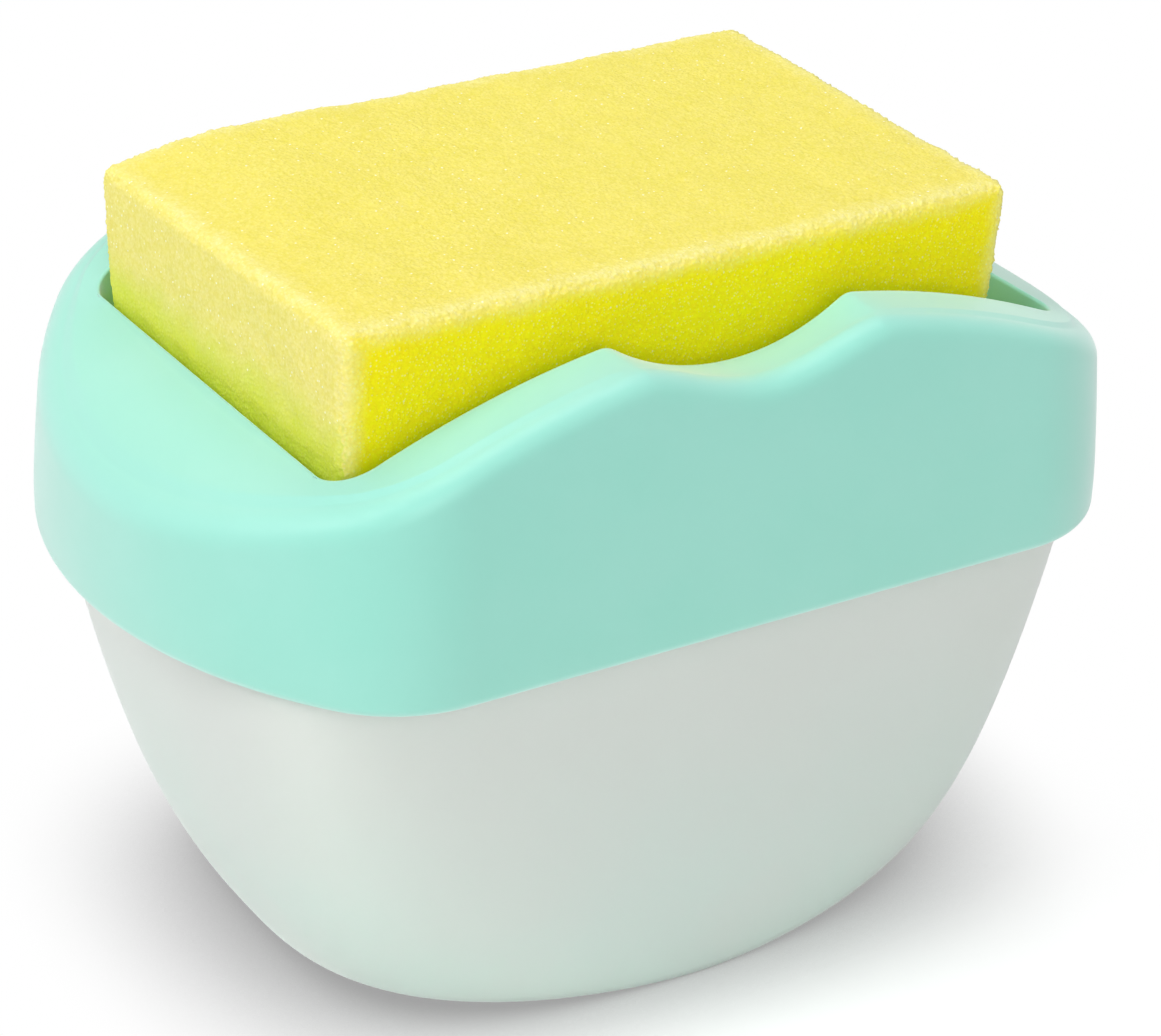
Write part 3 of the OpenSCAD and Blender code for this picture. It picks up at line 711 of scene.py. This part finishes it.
    def inside(self):
        """Down the well's wall to the tray, and back under the top to the lower edge."""
        rim, foot = self.rim(0, self.s.rim), self.foot(0)
        rings = [mixed(rim, foot, k / INNER_STEPS, k / INNER_STEPS) for k in range(1, INNER_STEPS + 1)]
        outer_foot, ceiling = self.foot(self.s.wall), self.rim(self.s.wall, self.s.skin)
        rings += [outer_foot, mixed(outer_foot, ceiling, 0.5, 0.5)]
        brow = self.over(self.s.wall + self.s.brow, self.s.skin)
        shares = [1 - k / UNDER_STEPS for k in range(UNDER_STEPS + 1)]
        rings += [self.between(brow, ceiling, share, self.s.skin) for share in shares]
        rings.append(self.over(self.s.wall, self.s.skin + self.s.brow))
        rings.append(lifted(self.wall_plan(self.s.wall), self.widest))
        return rings


class CADDY_OT_collar(bpy.types.Operator):
    """Models the collar: rounded wall, sloped top with finger scoops, and the well"""

    bl_idname = "caddy.collar"
    bl_label = "Collar"

    def execute(self, context):
        sizes = context.scene.caddy_collar
        form = CollarForm(sizes)
        bm = bmesh.new()
        loft(bm, form.wall() + form.brow() + form.top() + form.inside(), closed=True)
        finish = moulded_plastic("mint_plastic", sizes.mint, sizes.mint_pale, haze=0.65)
        piece = finished(bm, "collar_shell", [finish])
        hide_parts("collar")
        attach(piece, "upper")
        return {"FINISHED"}


# Reservoir

LEVELS = 44


class ReservoirForm:
    """The levels that the reservoir is lofted through."""

    def __init__(self, sizes):
        self.s = sizes
        self.half_x = (RESERVOIR_HIGH.x - RESERVOIR_LOW.x) / 2
        self.half_y = (RESERVOIR_HIGH.y - RESERVOIR_LOW.y) / 2
        self.top = COLLAR_LOW.z
        self.lip = RESERVOIR_HIGH.z

    def plan(self, u, inset):
        """Outline at a share u of the height up to the collar."""
        s = self.s
        left = 1 - min(u * self.top / s.base_round, 1)
        tuck = s.base_inset * (1 - math.sqrt(1 - left * left))
        half_x = s.base_length / 2 + (self.half_x - s.base_length / 2) * math.sqrt(u) - inset
        power = s.base_power + (s.top_power - s.base_power) * u ** s.power_rise
        return oval(half_x, self.half_y - tuck - inset, power)

    def neck(self, inset, height):
        s = self.s
        plan = oval(self.half_x - s.neck_inset - inset, self.half_y - s.neck_inset - inset, s.neck_power)
        return lifted(plan, height)

    def outer(self):
        return [lifted(self.plan(u, 0), self.top * u) for u in level_shares()]

    def inner(self):
        s = self.s
        return [lifted(self.plan(u, s.wall), s.floor + (self.top - s.floor) * u) for u in level_shares()]

    def rings(self):
        return (self.outer() + [self.neck(0, self.top + self.s.shoulder), self.neck(0, self.lip)]
                + [self.neck(self.s.wall, self.lip)] + self.inner()[::-1])


def level_shares():
    """Levels that lie closer together near the base, where the ends curve most."""
    return [(i / LEVELS) ** 2 for i in range(LEVELS + 1)]


class CADDY_OT_reservoir(bpy.types.Operator):
    """Models the frosted reservoir, an oval at its base and nearly a rounded box at the collar"""

    bl_idname = "caddy.reservoir"
    bl_label = "Reservoir"

    def execute(self, context):
        sizes = context.scene.caddy_reservoir
        form = ReservoirForm(sizes)
        bm = bmesh.new()
        first, last = loft(bm, form.rings())
        close_with_pole(bm, first, (0, 0, 0))
        close_with_pole(bm, last, (0, 0, sizes.floor))
        finish = frosted_plastic("frosted_plastic", sizes.frosted, sizes.filled,
                                 sizes.tint_full_below, sizes.tint_gone_above)
        piece = finished(bm, "reservoir_bowl", [finish])
        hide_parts("reservoir")
        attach(piece, "reservoir")
        return {"FINISHED"}


# Sponge


class CADDY_OT_sponge(bpy.types.Operator):
    """Models the foam sponge: cut faces that wander a little, open pores, frayed edges and light painted
    along them
    """

    bl_idname = "caddy.sponge"
    bl_label = "Sponge"

    def execute(self, context):
        s = context.scene.caddy_sponge
        centre = (SPONGE_LOW + SPONGE_HIGH) / 2
        low = SPONGE_LOW.z
        top = SPONGE_HIGH.z - s.rise / 2 + s.swell
        half = Vector((s.long / 2, s.wide / 2, (top - low) / 2))
        spacing = s.spacing * 1
        bm = bmesh.new()
        bmesh.ops.create_cube(bm, size=2.0)
        bmesh.ops.scale(bm, vec=half, verts=bm.verts)
        for axis in range(3):
            along = [e for e in bm.edges if abs((e.verts[0].co - e.verts[1].co)[axis]) > half[axis]]
            bmesh.ops.subdivide_edges(bm, edges=along, cuts=int(2 * half[axis] / spacing), use_grid_fill=True)
        shape_foam(bm, s, half)
        place = Matrix.Translation((centre.x, centre.y, (low + top) / 2)) @ Matrix.Rotation(s.turn, 4, "Z")
        bmesh.ops.transform(bm, matrix=place, verts=bm.verts)
        middle = (centre.x, centre.y, 0.0)
        piece = finished(bm, "sponge_block", [foam("foam", s, middle, top)])
        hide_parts("sponge")
        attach(piece, "sponge")
        return {"FINISHED"}


DROOP_ALONG = 0.016
DROOP_ACROSS = 0.058
DROOP_POWER = 1.3
WAVE_PITCH = 0.014
RIPPLE_PITCH = 0.0035
RIPPLE_SHARE = 0.5
FUZZ_PITCH = 0.00045
EDGE_FRAY = 4
TAPER_POWER = 1.6
TUCK_UP = 0.36
TUCK_SOFT = 0.12
TUCK_SIDE_SHARE = 0.7


def shape_foam(bm, s, half):
    """Rounds and tapers the block, lets a corner droop, and breaks its faces into pits and fuzz."""
    core = [h - s.edge for h in half]
    for vert in bm.verts:
        p = vert.co
        q = Vector([max(-c, min(c, v)) for c, v in zip(core, p)])
        out = p - q
        normal = out.normalized() if out.length > 0 else Vector((0, 0, 1))
        point = q + normal * s.edge
        up = (point.z + half.z) / (2 * half.z)
        wave = noise.noise(point / WAVE_PITCH) + RIPPLE_SHARE * noise.noise(point / RIPPLE_PITCH)
        pit = noise.voronoi(point / s.pit_pitch)[0][0]
        frayed = 1 - max(abs(part) for part in normal)
        fuzz = (s.fuzz + s.edge_fuzz * min(1.0, frayed * EDGE_FRAY)) * noise.noise(point / FUZZ_PITCH)
        point = point + normal * (s.wave * wave + s.pit_depth * (pit - 0.5) * 2 + fuzz)
        narrow = s.taper * max(0.0, 1 - up) ** TAPER_POWER
        tucked = s.tuck * min(1.0, max(0.0, TUCK_UP - up) / TUCK_SOFT)
        point.x *= 1 - (narrow + tucked) / half.x
        point.y *= 1 - (narrow + tucked * TUCK_SIDE_SHARE) / half.y
        away = math.hypot((point.x + half.x) / DROOP_ALONG, (point.y - half.y) / DROOP_ACROSS)
        droop = s.droop * max(0.0, 1 - away) ** DROOP_POWER
        point.z += (s.rise * point.y / s.wide - droop) * up
        vert.co = point


# Pump and tray

NATURAL_NODES = ("outlet_cap", "stem_guide", "stem", "piston_core", "ball_cage")
MINT_NODES = ("pump_nut",)
SOFTENED_NODES = {
    # The node, then its piece, its finish, its slot in the record and the body that it rides on
    "lid_tray": ("tray_shell", "mint", "tray", "upper"),
    "press_plate": ("plate_shell", "mint", "plate", "plunger"),
    "pump_chamber": ("chamber_shell", "natural", "pump_plastic", "upper"),
}
SHARP_ANGLE = math.radians(35)
RUBBER_NODES = ("rim_seal", "pump_gasket", "wiper_ring", "piston")
STEEL_NODES = ("outlet_ball", "inlet_ball")
TUBE_NODES = ("dip_tube",)


def merged(name):
    """A copy of a CAD node's mesh with its loose triangles joined."""
    bm = bmesh.new()
    bm.from_mesh(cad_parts[name].data)
    bmesh.ops.remove_doubles(bm, verts=bm.verts, dist=WELD)
    return bm


def softened(name, radius):
    """A copy of a CAD node with its sharp edges rounded, as they come from a mould."""
    bm = merged(name)
    sharp = [edge for edge in bm.edges if edge.calc_face_angle() > SHARP_ANGLE]
    bmesh.ops.bevel(bm, geom=sharp, offset=radius, offset_type="OFFSET", segments=2, profile=0.5,
                    affect="EDGES", material=-1)
    bmesh.ops.triangulate(bm, faces=bm.faces)
    return bm


def dress(names, material):
    """Gives a material to CAD nodes that are shown as they are."""
    for name in names:
        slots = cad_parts[name].data.materials
        slots.clear()
        slots.append(material)


class CADDY_OT_pump(bpy.types.Operator):
    """Finishes the tray, the press plate and every piece of the pump"""

    bl_idname = "caddy.pump"
    bl_label = "Tray and pump"

    def execute(self, context):
        pump, collar = context.scene.caddy_pump, context.scene.caddy_collar
        milky = toned(pump.natural, 0.97)
        finishes = {
            "mint": moulded_plastic("mint_inner_plastic", collar.mint, collar.mint_pale, roughness=0.4),
            "natural": moulded_plastic("natural_plastic", pump.natural, milky, roughness=0.35),
        }
        for node, (name, finish, slot, body) in SOFTENED_NODES.items():
            piece = finished(softened(node, pump.edge), name, [finishes[finish]])
            weighted = piece.modifiers.new("flat_faces", "WEIGHTED_NORMAL")
            weighted.keep_sharp = True
            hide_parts(node)
            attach(piece, body)
        dress(MINT_NODES, finishes["mint"])
        dress(NATURAL_NODES, finishes["natural"])
        dress(RUBBER_NODES, rubber("seal_rubber", pump.rubber))
        steel = drawn_steel("bright_steel", pump.steel)
        dress(STEEL_NODES, steel)
        self.coil(pump.travel, steel)
        dress(TUBE_NODES, frosted_plastic("tube_plastic", pump.tube))
        return {"FINISHED"}

    def coil(self, travel, steel):
        """The spring in one smooth skin."""
        piece = finished(merged("return_spring"), "spring_coil", [steel])
        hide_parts("return_spring")
        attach(piece, "upper")
        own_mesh(piece)


# Studio

FLOOR_HALF = 3.0
FLOOR_WHITE = 0.92
FLOOR_GLOW = 0.26
SHADOW_PLACE = (0.005, -0.042, 0.0)
SHADOW_REACH = (0.0, 0.08)
CONTACT_REACH = 0.028
CONTACT_GLOW = 0.36
CONTACT_RAMP = (0.1, 0.95)
SENSOR_WIDTH = 36
LAMP_TARGET = (0.0, 0.0, 0.05)
KEY_PLACE = (-1.05, 0.1, 1.0)
KEY_SIZE = 0.6
TOP_PLACE = (0.0, 0.2, 1.4)
TOP_SIZE = 0.9
FILL_PLACE = (-0.5, -1.3, 0.65)
FILL_SIZE = 0.9


def area_lamp(name, place, size, power):
    """A square lamp at a place, aimed at the middle of the caddy."""
    lamp = bpy.data.lights.new(name, "AREA")
    lamp.size = size
    lamp.energy = power
    holder = bpy.data.objects.new(name, lamp)
    holder.location = place
    holder.rotation_mode = "QUATERNION"
    holder.rotation_quaternion = (Vector(LAMP_TARGET) - Vector(place)).to_track_quat("-Z", "Y")
    bpy.context.scene.collection.objects.link(holder)


def seen(finish):
    """1 for rays from the camera, from gloss and through glass, and 0 for the light that falls on things."""
    path = finish.add("ShaderNodeLightPath")
    names = ("Is Camera Ray", "Is Glossy Ray", "Is Transmission Ray")
    camera, gloss, through = (Flow(finish, path.outputs[name]) for name in names)
    return camera.most(gloss).most(through)


def pale_floor():
    """A white floor that keeps the shadow: what the camera sees of it is lifted to plain white."""
    finish = new_finish("pale_floor")
    white = {"Color": (1, 1, 1, 1)}
    place = finish.place(SHADOW_PLACE)
    away = finish.flow("ShaderNodeVectorMath", "Value", {"operation": "LENGTH"}, {0: place})
    plain = finish.flow("ShaderNodeBsdfDiffuse", "BSDF", None, {"Color": (FLOOR_WHITE,) * 3 + (1,)})
    lit = finish.flow("ShaderNodeBsdfDiffuse", "BSDF", None, white)
    glow = finish.flow("ShaderNodeEmission", "Emission", None, dict(white, Strength=FLOOR_GLOW))
    near = finish.flow("ShaderNodeAddShader", 0, None, {0: lit, 1: glow})
    far = finish.flow("ShaderNodeEmission", "Emission", None, dict(white, Strength=1.0))
    shown = finish.flow("ShaderNodeMixShader", 0, None, {0: away.ramp(*SHADOW_REACH), 1: near, 2: far})
    # Painted contact shadow: where ambient occlusion finds the narrow gap under the bowl, the floor shows a
    # dim fixed glow instead of its light, on every side
    shade = finish.flow("ShaderNodeAmbientOcclusion", "AO", None, {"Distance": CONTACT_REACH})
    gap = shade.ramp(*CONTACT_RAMP)
    contact_shadow_glow = finish.flow("ShaderNodeEmission", "Emission", None, dict(white, Strength=CONTACT_GLOW))
    shaded = finish.flow("ShaderNodeMixShader", 0, None, {0: gap, 1: contact_shadow_glow, 2: shown})
    return finish.end(finish.flow("ShaderNodeMixShader", 0, None, {0: seen(finish), 1: plain, 2: shaded}))


def white_world(strength):
    """An even pale light from all round that the camera sees as plain white."""
    finish = Finish(bpy.data.worlds.new("studio"))
    level = seen(finish) * (1 - strength) + strength
    light = finish.flow("ShaderNodeBackground", 0, None, {"Color": (1, 1, 1, 1), "Strength": level})
    finish.add("ShaderNodeOutputWorld", None, {"Surface": light})
    return finish.owner


class CADDY_OT_stage(bpy.types.Operator):
    """Sets up the camera, the pale floor and the soft light"""

    bl_idname = "caddy.stage"
    bl_label = "Studio"

    def execute(self, context):
        scene, stage = context.scene, context.scene.caddy_stage
        a, e, r = stage.azimuth, stage.elevation, stage.roll
        back = Vector((math.sin(a) * math.cos(e), -math.cos(a) * math.cos(e), math.sin(e)))
        right = Vector((math.cos(a), math.sin(a), 0))
        above = back.cross(right)
        tilted_right = right * math.cos(r) + above * math.sin(r)
        tilted_up = above * math.cos(r) - right * math.sin(r)
        data = bpy.data.cameras.new("camera")
        data.sensor_width = SENSOR_WIDTH
        data.lens = stage.lens
        data.clip_start, data.clip_end = 0.01, 20
        camera = bpy.data.objects.new("camera", data)
        turn = Matrix((tilted_right, tilted_up, back)).transposed().to_4x4()
        camera.matrix_world = Matrix.Translation(Vector(stage.target) + back * stage.distance) @ turn
        scene.collection.objects.link(camera)
        scene.camera = camera
        bm = bmesh.new()
        bmesh.ops.create_grid(bm, x_segments=1, y_segments=1, size=FLOOR_HALF)
        finished(bm, "floor", [pale_floor()])
        area_lamp("key_lamp", KEY_PLACE, KEY_SIZE, stage.key)
        area_lamp("top_lamp", TOP_PLACE, TOP_SIZE, stage.top)
        area_lamp("fill_lamp", FILL_PLACE, FILL_SIZE, stage.fill)
        scene.world = white_world(stage.world)
        scene.view_settings.view_transform = "Standard"
        return {"FINISHED"}


class CADDY_PT_sidebar(bpy.types.Panel):
    """Lists the caddy's sizes, colours and steps"""

    bl_idname = "CADDY_PT_sidebar"
    bl_label = "Soap pump caddy"
    bl_space_type = "VIEW_3D"
    bl_region_type = "UI"
    bl_category = "Caddy"

    def draw(self, context):
        for operator, group in STEPS:
            box = self.layout.box()
            box.operator(operator.bl_idname)
            settings = getattr(context.scene, group)
            for name in settings.__annotations__:
                box.prop(settings, name)


SETTINGS = {
    "caddy_stage": StageSettings,
    "caddy_collar": CollarSettings,
    "caddy_reservoir": ReservoirSettings,
    "caddy_sponge": SpongeSettings,
    "caddy_pump": PumpSettings,
}
STEPS = (
    (CADDY_OT_stage, "caddy_stage"),
    (CADDY_OT_collar, "caddy_collar"),
    (CADDY_OT_reservoir, "caddy_reservoir"),
    (CADDY_OT_sponge, "caddy_sponge"),
    (CADDY_OT_pump, "caddy_pump"),
)


def register():
    for name, group in SETTINGS.items():
        bpy.utils.register_class(group)
        setattr(bpy.types.Scene, name, bpy.props.PointerProperty(type=group))
    for operator, _ in STEPS:
        bpy.utils.register_class(operator)
    bpy.utils.register_class(CADDY_PT_sidebar)


def unregister():
    bpy.utils.unregister_class(CADDY_PT_sidebar)
    for operator, _ in reversed(STEPS):
        bpy.utils.unregister_class(operator)
    for name, group in reversed(SETTINGS.items()):
        delattr(bpy.types.Scene, name)
        bpy.utils.unregister_class(group)


def main():
    register()
    bpy.ops.caddy.stage()
    bpy.ops.caddy.collar()
    bpy.ops.caddy.reservoir()
    bpy.ops.caddy.sponge()
    bpy.ops.caddy.pump()


if __name__ == "__main__":
    main()
